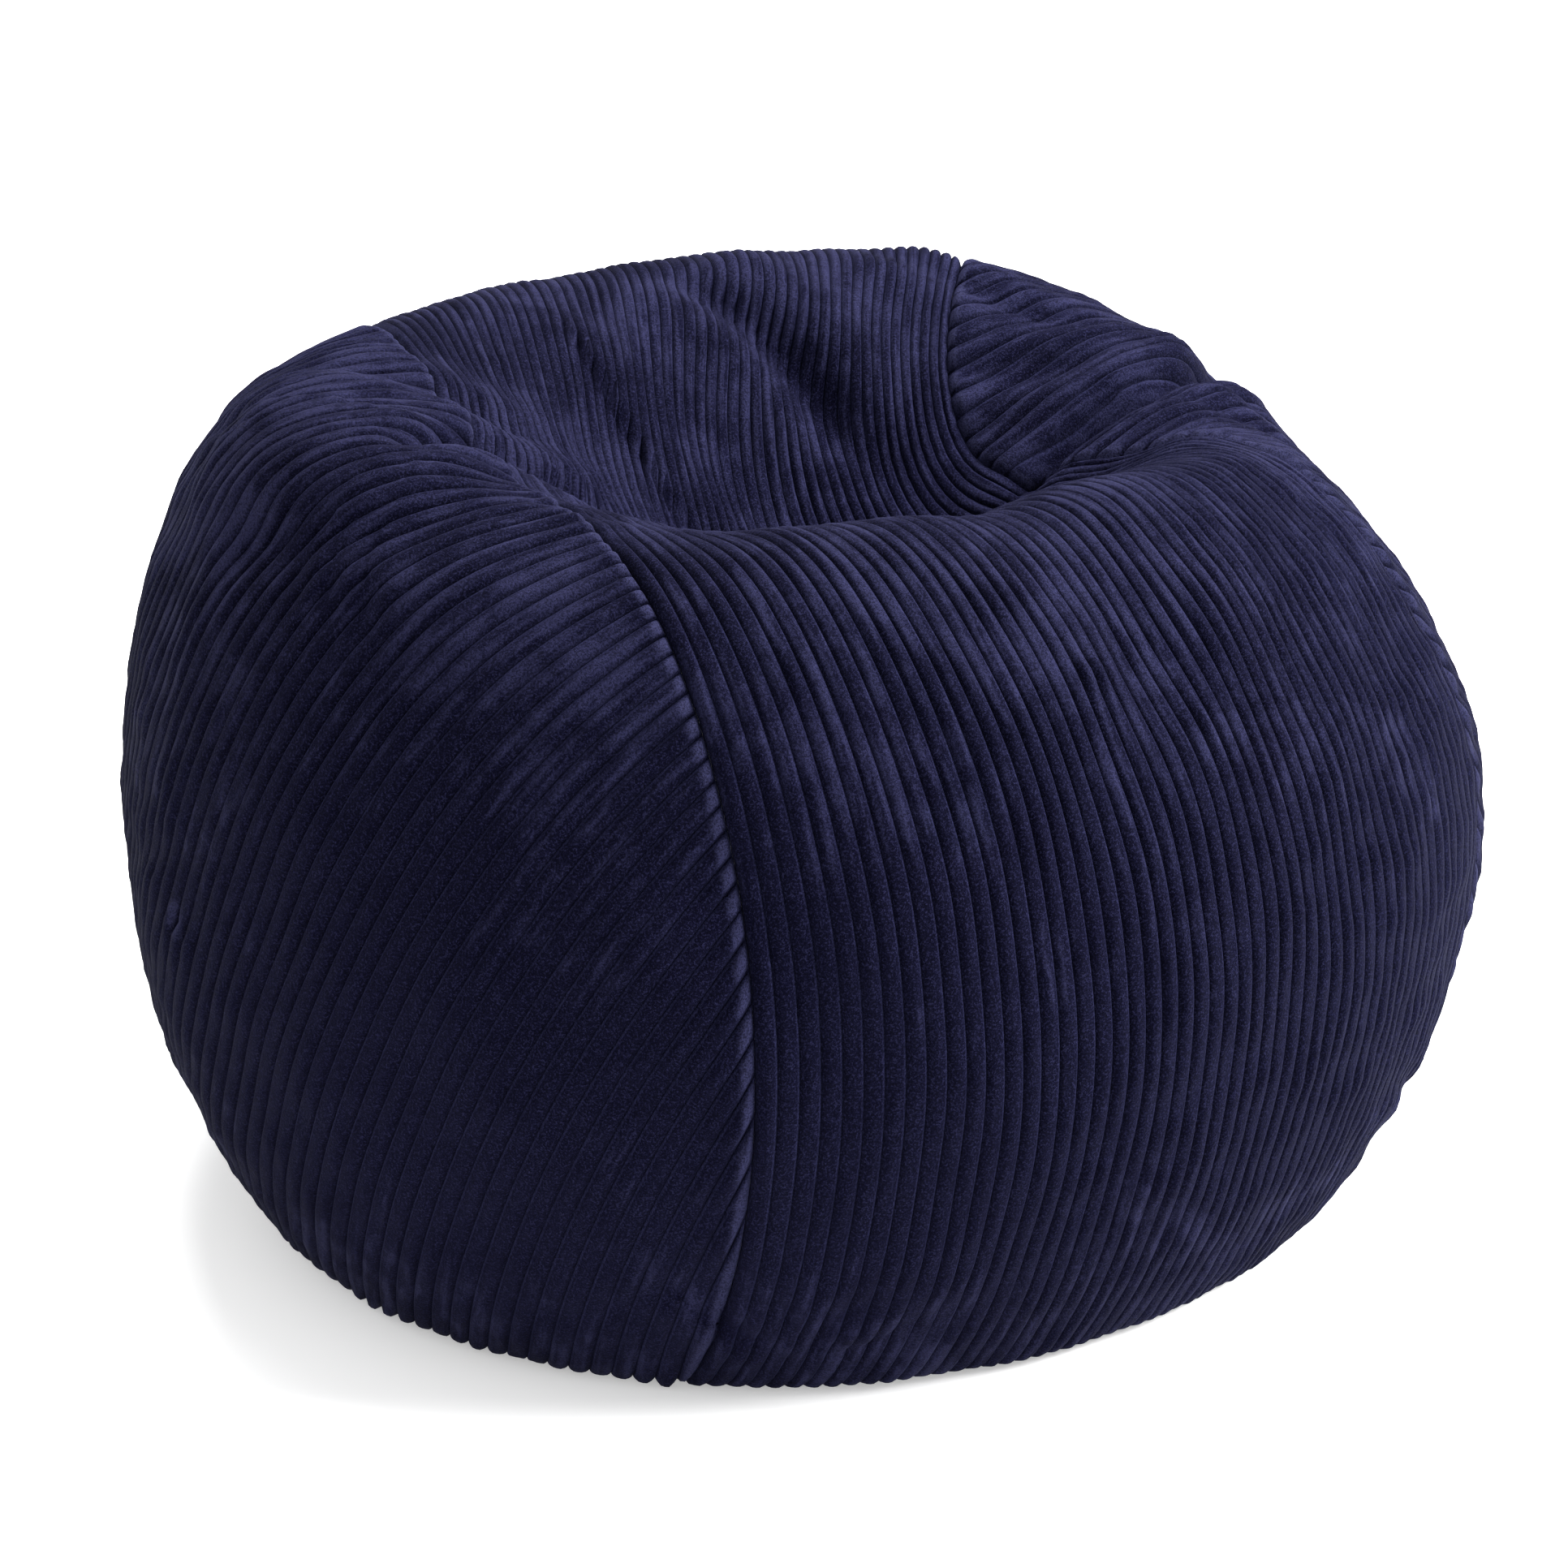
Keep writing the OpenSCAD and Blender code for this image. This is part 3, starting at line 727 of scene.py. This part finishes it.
cord, tree = new_finish("navy_plush_cord")
place = object_place(tree)
marks = add_node(tree, "ShaderNodeUVMap", {"uv_map": "cloth"})
across = add_node(tree, "ShaderNodeSeparateXYZ", Vector=marks)
along = add_node(tree, "ShaderNodeSeparateXYZ", output=1, Vector=marks)
rib = across.part_of_one()
from_groove = rib.lesser(1 - rib) * 2
# Painted shade: each groove between the ribs is painted darker, where shade falls.
painted_groove_shade = 1 - from_groove.between(0.03, 0.10)
# Painted highlight: a thin glint along one flank of each rib, where the pile catches the light.
glint_flank = rib.between(0.84, 0.90) * (1 - rib.between(0.94, 0.99))
# Painted shade on the flank beside each groove.
shaded_flank = rib.between(0.01, 0.06) * (1 - rib.between(0.07, 0.30))
nap_patches = add_node(tree, "ShaderNodeTexNoise", Vector=place, Scale=7.5, Detail=5.0,
                       Roughness=0.62, Distortion=1.1)
brushed = add_node(tree, "ShaderNodeTexNoise", Vector=place, Scale=46.0, Detail=4.0,
                   Roughness=0.65)
streak_place = add_node(tree, "ShaderNodeCombineXYZ", X=across * 2.3, Y=along * 14.0)
streaks = add_node(tree, "ShaderNodeTexNoise", {"noise_dimensions": "2D"},
                   Vector=streak_place, Scale=1.0, Detail=3.0)
grain = add_node(tree, "ShaderNodeTexNoise", Vector=place, Scale=720.0, Detail=3.0,
                 Roughness=0.8)
rib_ends = add_node(tree, "ShaderNodeAttribute", {"attribute_name": "sewn"}, output=2)
on_crest = from_groove.between(0.12, 0.40)
frayed = (rib_ends + (brushed - 0.5) * 0.40).between(0.26, 0.50) * on_crest
height = add_node(tree, "ShaderNodeSeparateXYZ", output=2, Vector=place)
# Lighter towards the top: partly nap crushed where the bag is sat on, partly painted light falling
# from above.
top_lit_and_sat_on = height.between(0.26, 0.55) * 0.30
scuffed_low = (1 - height.between(0.03, 0.20)) * 0.24
light_nap = (nap_patches + brushed * 0.60 + streaks * 0.75 + top_lit_and_sat_on + scuffed_low
             - 1.40).between(-0.08, 0.28)
deep_navy, light_navy = (0.0010, 0.0009, 0.0074, 1), (0.0120, 0.0122, 0.0365, 1)
# Painted colours: the darkest is painted shade for the grooves, the flank colour a painted glint
# along the ribs.
groove_shade_navy, glint_navy = (0.0004, 0.0004, 0.0036, 1), (0.0150, 0.0158, 0.0460, 1)
worn_navy = (0.0190, 0.0195, 0.0500, 1)
pile_root_navy, pile_tip_navy = (0.0003, 0.0003, 0.0028, 1), (0.0195, 0.0200, 0.0560, 1)
pile_colour = light_nap.mixed(deep_navy, light_navy)
# Painted shade, darker in each groove and on the flank beside it.
pile_colour = (shaded_flank * 0.40).mixed(pile_colour, groove_shade_navy)
pile_colour = (painted_groove_shade * 0.55).mixed(pile_colour, groove_shade_navy)
# Painted highlight: the glint along each rib's far flank.
pile_colour = (glint_flank * 0.50).mixed(pile_colour, glint_navy)
pile_colour = (frayed * 0.85).mixed(pile_colour, worn_navy)
pile_colour = ((1 - grain.between(0.38, 0.56)) * 0.70).mixed(pile_colour, pile_root_navy)
pile_colour = (grain.between(0.50, 0.66) * 0.50).mixed(pile_colour, pile_tip_navy)
close_finish(tree,
             Base_Color=pile_colour,
             Roughness=0.94 - 0.12 * light_nap,
             Specular_IOR_Level=0.04,
             Sheen_Weight=0.034, Sheen_Roughness=0.40, Sheen_Tint=(0.22, 0.24, 0.70, 1),
             normal=bump(tree, grain + brushed * 0.6, 0.0016, 0.9))

rib_at = rib_places(STRIP_RIBS)
shares = SEAM_SLIT / HALF_W + (1 - 2 * SEAM_SLIT / HALF_W) * rib_at / STRIP_RIBS
zip_edge = latitude_of(ZIP_TOP_Z - 0.0015)
dirs, turns = strip_dirs(shares, STRIP_ROWS, BASE_SEAM, zip_edge)
sway = STRIP_SWAY * slack(bag_point(dirs)) * np.sin(math.pi * shares) ** 0.5
dirs = loop_dir(strip_x(shares[None] + sway, turns), turns)
cover_strip = cord_panel("cord_cover_strip", dirs, rib_at[None] + 0 * turns, 0, 0, zip_edge)
shows(cover_strip, cord, node="cover_centre_panel")

even = np.linspace(0, 1, SIDE_COLUMNS)
crowded = 0.45 * even + 0.55 * (1 - np.cos(math.pi * even)) / 2     # closer near the seams
for side, name in ((-1, "left"), (1, "right")):
    middle = bag_point(side_dirs(side, 200, np.array([0.5]), BASE_SEAM))[:, 0]
    ribs = round(np.linalg.norm(np.diff(middle, axis=0), axis=1).sum() / SIDE_RIB_PITCH)
    rib_at = rib_places(ribs)
    dense = side_dirs(side, PER_RIB * ribs + 1, crowded, BASE_SEAM)
    rows = rib_at / ribs * PER_RIB * ribs
    low = np.floor(rows).astype(int).clip(0, PER_RIB * ribs - 1)
    part = (rows - low)[:, None, None]
    dirs = unit(dense[low] * (1 - part) + dense[low + 1] * part)
    panel = cord_panel("cord_cover_%s_side" % name, dirs, rib_at[:, None] + 0 * even[None],
                       side, 1, stride=(PER_RIB, 2))
    shows(panel, cord, node="cover_%s_panel" % name)

# ---- Cover base ----
# Plain dark woven cloth that closes the cover underneath, sewn to the panels at the floor
# edge. At the back it reaches up to the lower zip tape, which is sewn on over it, and past
# the tapes' ends up to the strip.
BASE_RISE_Z = 0.0175
BASE_THICK = 0.0008
BASE_RINGS, BASE_COLUMNS = 30, 480
RIM_FADE = 30
TAPE_ROOM, BASE_SUNK, PUCKER = 0.0040, 0.006, 0.0012
WINDOW_EDGE = 0.02


def zip_window(angle):
    """1 across the back between the two side seams, 0 elsewhere."""
    left, right = (loop_dir(seam_x(side, turn), turn) for side, turn in
                   ((-1, end_turn(np.array([0.0]), BASE_SEAM, True)[0]),
                    (1, end_turn(np.array([1.0]), BASE_SEAM, True)[0])))
    low, high = math.atan2(right[0], -right[1]), math.atan2(left[0], -left[1]) + 2 * math.pi
    opened = smooth_step(angle, low, low + WINDOW_EDGE)
    return opened * (1 - smooth_step(angle, high - WINDOW_EDGE, high))


def base_rim(angle):
    """Latitude of the base's rim, which stands up behind the zip and past its ends."""
    rise = latitude_of(BASE_RISE_Z)
    level = math.sqrt(1 - rise**2)
    across = bag_point(np.stack([level * np.sin(angle), -level * np.cos(angle),
                                 -rise + 0 * angle], -1))[..., 0]
    past_tape = np.maximum(tape_low[0] - across, across - tape_high[0])
    rise = rise + (zip_edge - rise) * smooth_step(past_tape, -0.010, -0.003)
    return BASE_SEAM + (rise - BASE_SEAM) * zip_window(angle)


tape_low, tape_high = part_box("cover_zip_tape_upper")
dirs, angles = base_dirs(BASE_RINGS, BASE_COLUMNS, base_rim)
p, out = bag_surface(dirs)
rim = np.exp(-np.linspace(0, 1, BASE_RINGS)[:, None] * RIM_FADE)
window = zip_window(angles)[None]
gathers = np.sin(angles * 58 + 2 * np.sin(angles * 7))[None] * rim * (1 - rim)
sunk = TAPE_ROOM * window * rim + (1 - window) * BASE_SUNK * rim**2 - PUCKER * gathers
sunk = np.maximum(sunk, 0)[..., None]
cover_base = closed_base("cover_base_cloth", p - sunk * out, p - (sunk + BASE_THICK) * out,
                         p[..., :2])

base_cloth, tree = new_finish("dark_base_cloth")
marks = add_node(tree, "ShaderNodeUVMap", {"uv_map": "cloth"})
warp = add_node(tree, "ShaderNodeTexWave", {"bands_direction": "X"}, Vector=marks,
                Scale=210.0, Distortion=0.4)
weft = add_node(tree, "ShaderNodeTexWave", {"bands_direction": "Y"}, Vector=marks,
                Scale=210.0, Distortion=0.4)
wear = add_node(tree, "ShaderNodeTexNoise", Vector=marks, Scale=14.0, Detail=4.0)
close_finish(tree,
             Base_Color=wear.mixed((0.0022, 0.0022, 0.0080, 1), (0.0060, 0.0060, 0.0180, 1)),
             Roughness=0.85 + 0.1 * wear, Specular_IOR_Level=0.10,
             normal=bump(tree, warp * weft, 0.0004, 0.7))
shows(cover_base, base_cloth, node="cover_base_panel")

# ---- Cover zip ----
# A nylon coil zip low on the back, by which the cover comes off: two woven tapes, a coil
# row sewn along each, a die-cast slider with a pull tab, and four pressed staples. It
# curves round the bag, so the slider turns about the middle of that curve.
ZIP_LOW_Z = 0.015
TAPE_DEPTH = 0.0025
COIL_GAP, COIL_WIDE, COIL_DEEP = 0.0006, 0.0029, 0.0024
STRAND_R, COIL_PITCH = 0.00034, 0.0016
STRAND_SIDES, COIL_STEPS = 5, 10

zip_axis_y = next(j for j in frame["joints"] if j["name"] == "cover_zip_travel")["pos_m"][1]


def back_at(z):
    drop = latitude_of(z)
    return bag_point(np.array([0, math.sqrt(1 - drop**2), -drop]))


zip_foot, zip_head = back_at(ZIP_LOW_Z), back_at(ZIP_TOP_Z)
zip_mid = (zip_foot + zip_head) / 2
zip_radius = zip_mid[1] - zip_axis_y
zip_lean = math.atan2(zip_head[1] - zip_foot[1], zip_head[2] - zip_foot[2])


def zip_angle(x):
    return math.asin(x / (zip_radius - TAPE_DEPTH))


def coil_row(name, up):
    """One row of the coil: a strand wound round and round along the zip's curve."""
    low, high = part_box("cover_zip_coil_upper")
    begin, end = zip_angle(low[0]) + 0.004, zip_angle(high[0]) - 0.004
    winds = round((end - begin) * zip_radius / COIL_PITCH)
    t = np.linspace(0, 1, winds * COIL_STEPS + 1)
    bearing, wind = begin + (end - begin) * t, 2 * math.pi * winds * t
    outward = (COIL_DEEP / 2 - STRAND_R) * np.sin(wind)
    upward = up * (COIL_GAP + COIL_WIDE / 2) + (COIL_WIDE / 2 - STRAND_R) * np.cos(wind)
    c, s = math.cos(zip_lean), math.sin(zip_lean)
    radius = zip_radius - TAPE_DEPTH * c + outward * c + upward * s
    height = zip_mid[2] + TAPE_DEPTH * s - outward * s + upward * c
    path = np.stack([radius * np.sin(bearing), zip_axis_y + radius * np.cos(bearing), height], -1)
    ahead = unit(np.gradient(path, axis=0))
    beside = unit(np.cross(ahead, [0, 0, 1.0]))
    above = np.cross(beside, ahead)
    turns_round = np.linspace(0, 2 * math.pi, STRAND_SIDES, endpoint=False)[:, None]
    tube = path[:, None] + STRAND_R * (np.cos(turns_round) * beside[:, None]
                                       + np.sin(turns_round) * above[:, None])
    count = len(path)
    faces = [(i * STRAND_SIDES + k, i * STRAND_SIDES + (k + 1) % STRAND_SIDES,
              (i + 1) * STRAND_SIDES + (k + 1) % STRAND_SIDES, (i + 1) * STRAND_SIDES + k)
             for i in range(count - 1) for k in range(STRAND_SIDES)]
    faces.append(tuple(range(STRAND_SIDES)))
    faces.append(tuple(range((count - 1) * STRAND_SIDES, count * STRAND_SIDES))[::-1])
    return new_piece(name, tube, faces)


def softened(node, name, edge):
    """A copy of a hard part with its edges rounded, as a casting's are."""
    mesh = frame["nodes"][node].data.copy()
    piece = bpy.data.objects.new(name, mesh)
    bpy.context.scene.collection.objects.link(piece)
    bpy.context.view_layer.objects.active = piece
    piece.select_set(True)
    bpy.ops.object.mode_set(mode="EDIT")
    bpy.ops.mesh.select_all(action="SELECT")
    bpy.ops.mesh.remove_doubles(threshold=0.00001)
    bpy.ops.mesh.dissolve_limited(angle_limit=math.radians(2))
    bpy.ops.mesh.normals_make_consistent(inside=False)
    bpy.ops.object.mode_set(mode="OBJECT")
    rounding = piece.modifiers.new("rounding", "BEVEL")
    rounding.width, rounding.segments, rounding.limit_method = edge, 2, "ANGLE"
    rounding.angle_limit = math.radians(40)
    bpy.ops.object.modifier_apply(modifier="rounding")
    bpy.ops.object.shade_smooth_by_angle(angle=math.radians(35))
    piece.select_set(False)
    return piece


def tape_finish(name, low_colour, high_colour):
    finish, tree = new_finish(name)
    place = object_place(tree)
    height = add_node(tree, "ShaderNodeSeparateXYZ", output=2, Vector=place)
    cords = height.math("SINE", height * 9000.0)
    fibre = add_node(tree, "ShaderNodeTexNoise", Vector=place, Scale=1600.0, Detail=2.0)
    shade = add_node(tree, "ShaderNodeTexNoise", Vector=place, Scale=60.0, Detail=2.0)
    close_finish(tree, Base_Color=shade.mixed(low_colour, high_colour),
                 Roughness=0.80 + 0.12 * fibre, Specular_IOR_Level=0.08,
                 normal=bump(tree, cords * 0.5 + fibre, 0.0003, 0.8))
    return finish


def nylon_finish(name, low_colour, high_colour):
    finish, tree = new_finish(name)
    wear = add_node(tree, "ShaderNodeTexNoise", Vector=object_place(tree), Scale=180.0, Detail=3.0)
    close_finish(tree, Base_Color=wear.mixed(low_colour, high_colour),
                 Roughness=0.34 + 0.2 * wear, Specular_IOR_Level=0.22,
                 normal=bump(tree, wear, 0.0001, 0.4))
    return finish


def metal_finish(name, low_colour, high_colour):
    finish, tree = new_finish(name)
    place = object_place(tree)
    rub = add_node(tree, "ShaderNodeTexNoise", Vector=place, Scale=260.0, Detail=4.0)
    cast = add_node(tree, "ShaderNodeTexNoise", Vector=place, Scale=1800.0, Detail=1.0)
    close_finish(tree, Base_Color=rub.mixed(low_colour, high_colour),
                 Metallic=0.9, Roughness=0.28 + 0.3 * rub,
                 normal=bump(tree, cast, 0.00008, 0.5))
    return finish


def repainted(finish, *nodes):
    """CAD nodes that keep their shape and get a finish."""
    for node in nodes:
        mesh = frame["nodes"][node].data
        mesh.materials.clear()
        mesh.materials.append(finish)


dark_tape = tape_finish("navy_zip_tape", (0.0022, 0.0022, 0.008, 1), (0.006, 0.006, 0.019, 1))
dark_nylon = nylon_finish("navy_zip_nylon", (0.004, 0.004, 0.012, 1), (0.009, 0.009, 0.024, 1))
dark_metal = metal_finish("dark_slider_metal", (0.05, 0.05, 0.06, 1), (0.16, 0.16, 0.18, 1))
repainted(dark_tape, "cover_zip_tape_upper", "cover_zip_tape_lower")
for name, up in (("upper", 1), ("lower", -1)):
    shows(coil_row("cover_zip_nylon_" + name, up), dark_nylon,
          node="cover_zip_coil_" + name)
shows(softened("cover_zip_slider", "cover_zip_cast_slider", 0.00028), dark_metal,
      body="cover_zip_slider", node="cover_zip_slider")
shows(softened("cover_zip_pull", "cover_zip_pull_tab", 0.00035), dark_metal,
      body="cover_zip_pull", node="cover_zip_pull")
shows(softened("cover_zip_stops", "cover_zip_staples", 0.00015), dark_metal,
      node="cover_zip_stops")

# ---- Liner zip ----
# The same kind of zip in white on the liner, where the beads are poured in. Its slider has
# no pull tab, so that a child can't open it.
white_tape = tape_finish("white_zip_tape", (0.72, 0.72, 0.70, 1), (0.86, 0.86, 0.84, 1))
white_nylon = nylon_finish("white_zip_nylon", (0.70, 0.70, 0.69, 1), (0.84, 0.84, 0.83, 1))
bare_metal = metal_finish("bare_slider_metal", (0.45, 0.45, 0.46, 1), (0.66, 0.66, 0.68, 1))
repainted(white_tape, "liner_zip_tape_upper", "liner_zip_tape_lower")
repainted(white_nylon, "liner_zip_coil_upper", "liner_zip_coil_lower")
shows(softened("liner_zip_slider", "liner_zip_cast_slider", 0.00025), bare_metal,
      body="liner_zip_slider", node="liner_zip_slider")
shows(softened("liner_zip_stops", "liner_zip_staples", 0.00015), bare_metal,
      node="liner_zip_stops")

# ---- Care label ----
# A blank strip of white satin ribbon, folded double. It is caught in the left seam low at
# the back, and its loose end stands out between the knuckles and curls a little.
LABEL_TURN = 196
LABEL_WIDE, LABEL_LONG, LABEL_THICK = 0.034, 0.022, 0.0006
SEWN_UNDER, SEWN_OVER = 0.004, 0.0035

label_dir = loop_dir(seam_x(-1, LABEL_TURN), LABEL_TURN)
label_out = bag_normal(label_dir)
label_foot = bag_point(label_dir) - SEWN_UNDER * label_out
label_face = unit(np.cross([0, 0, 1.0], label_out))
label_up = np.cross(label_out, label_face)
reach = np.linspace(0, 1, 15)[:, None]
wide = np.linspace(-0.5, 0.5, 21)[None]
curl = (reach**2 * (0.0060 + 0.0016 * np.sin(5 * wide + 1))
        + 0.0010 * reach * np.cos(9 * wide))
ribbon = (label_foot + (LABEL_LONG + SEWN_OVER) * reach[..., None] * label_out
          + LABEL_WIDE * (wide + 0 * reach)[..., None] * label_up + curl[..., None] * label_face)
flat = np.stack([LABEL_WIDE * wide + 0 * reach, LABEL_LONG * reach + 0 * wide], -1)
label = sheet_of_cloth("care_label_ribbon", ribbon + LABEL_THICK / 2 * label_face,
                       ribbon - LABEL_THICK / 2 * label_face, flat)
satin, tree = new_finish("white_label_satin")
marks = add_node(tree, "ShaderNodeUVMap", {"uv_map": "cloth"})
threads = add_node(tree, "ShaderNodeTexWave", {"bands_direction": "X"}, Vector=marks,
                   Scale=900.0, Distortion=0.3)
creases = add_node(tree, "ShaderNodeTexNoise", Vector=object_place(tree), Scale=140.0, Detail=2.0)
# The ribbon is white; its colour is painted grey, painted shade that keeps it from glaring in the
# bright room.
close_finish(tree, Base_Color=creases.mixed((0.50, 0.50, 0.48, 1), (0.64, 0.64, 0.62, 1)),
             Roughness=0.38 + 0.15 * threads, normal=bump(tree, threads + creases, 0.0002, 0.5))
shows(label, satin, node="care_label")

# ---- Room and camera ----
# A plain pale floor, which glows a little, under a white surround, a large soft key light high
# on the right, and a camera at sitting height to the left of the front.
FLOOR_SIZE = 30.0
bpy.ops.mesh.primitive_plane_add(size=FLOOR_SIZE)
floor = bpy.context.object
floor.name = "studio_floor"
floor_paint, tree = new_finish("pale_floor")
scuffs = add_node(tree, "ShaderNodeTexNoise", Vector=object_place(tree), Scale=2.0, Detail=2.0)
# Painted light: the floor glows a little, which washes out the bag's shadow on it and lightens the
# bag's underside.
close_finish(tree,
             Base_Color=scuffs.mixed((0.90, 0.90, 0.90, 1), (0.93, 0.93, 0.93, 1)),
             Roughness=0.9, Specular_IOR_Level=0.1,
             Emission_Color=(1, 1, 1, 1), Emission_Strength=0.36)
floor.data.materials.append(floor_paint)
floor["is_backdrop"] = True

world = bpy.data.worlds.new("white_room")
bpy.context.scene.world = world
world.use_nodes = True
world.node_tree.nodes["Background"].inputs["Color"].default_value = (1, 1, 1, 1)
world.node_tree.nodes["Background"].inputs["Strength"].default_value = 0.95


def area_light(name, place, aim, size, power):
    lamp = bpy.data.lights.new(name, "AREA")
    lamp.size, lamp.energy = size, power
    light = bpy.data.objects.new(name, lamp)
    light.location = place
    light.rotation_euler = (Vector(aim) - Vector(place)).to_track_quat("-Z", "Y").to_euler()
    bpy.context.scene.collection.objects.link(light)


area_light("key", (2.2, -1.5, 2.4), (0.05, -0.05, 0.30), 2.2, 430)
area_light("top", (0.3, 0.9, 2.6), (0, 0, 0.4), 1.6, 120)

CAMERA_TURN, CAMERA_RISE = math.radians(-30.81), math.radians(23.65)
CAMERA_AWAY = 3.135
CAMERA_LENS, SENSOR_WIDTH = 104.4, 36
CAMERA_AIM = Vector((-0.021, 0, 0.269))
backward = Vector((math.sin(CAMERA_TURN) * math.cos(CAMERA_RISE),
                   -math.cos(CAMERA_TURN) * math.cos(CAMERA_RISE), math.sin(CAMERA_RISE)))
camera = bpy.data.objects.new("camera", bpy.data.cameras.new("camera"))
camera.data.lens, camera.data.sensor_width = CAMERA_LENS, SENSOR_WIDTH
camera.location = CAMERA_AIM + backward * CAMERA_AWAY
camera.rotation_euler = (-backward).to_track_quat("-Z", "Y").to_euler()
bpy.context.scene.collection.objects.link(camera)
bpy.context.scene.camera = camera
bpy.context.scene.view_settings.view_transform = "Standard"

low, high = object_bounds()
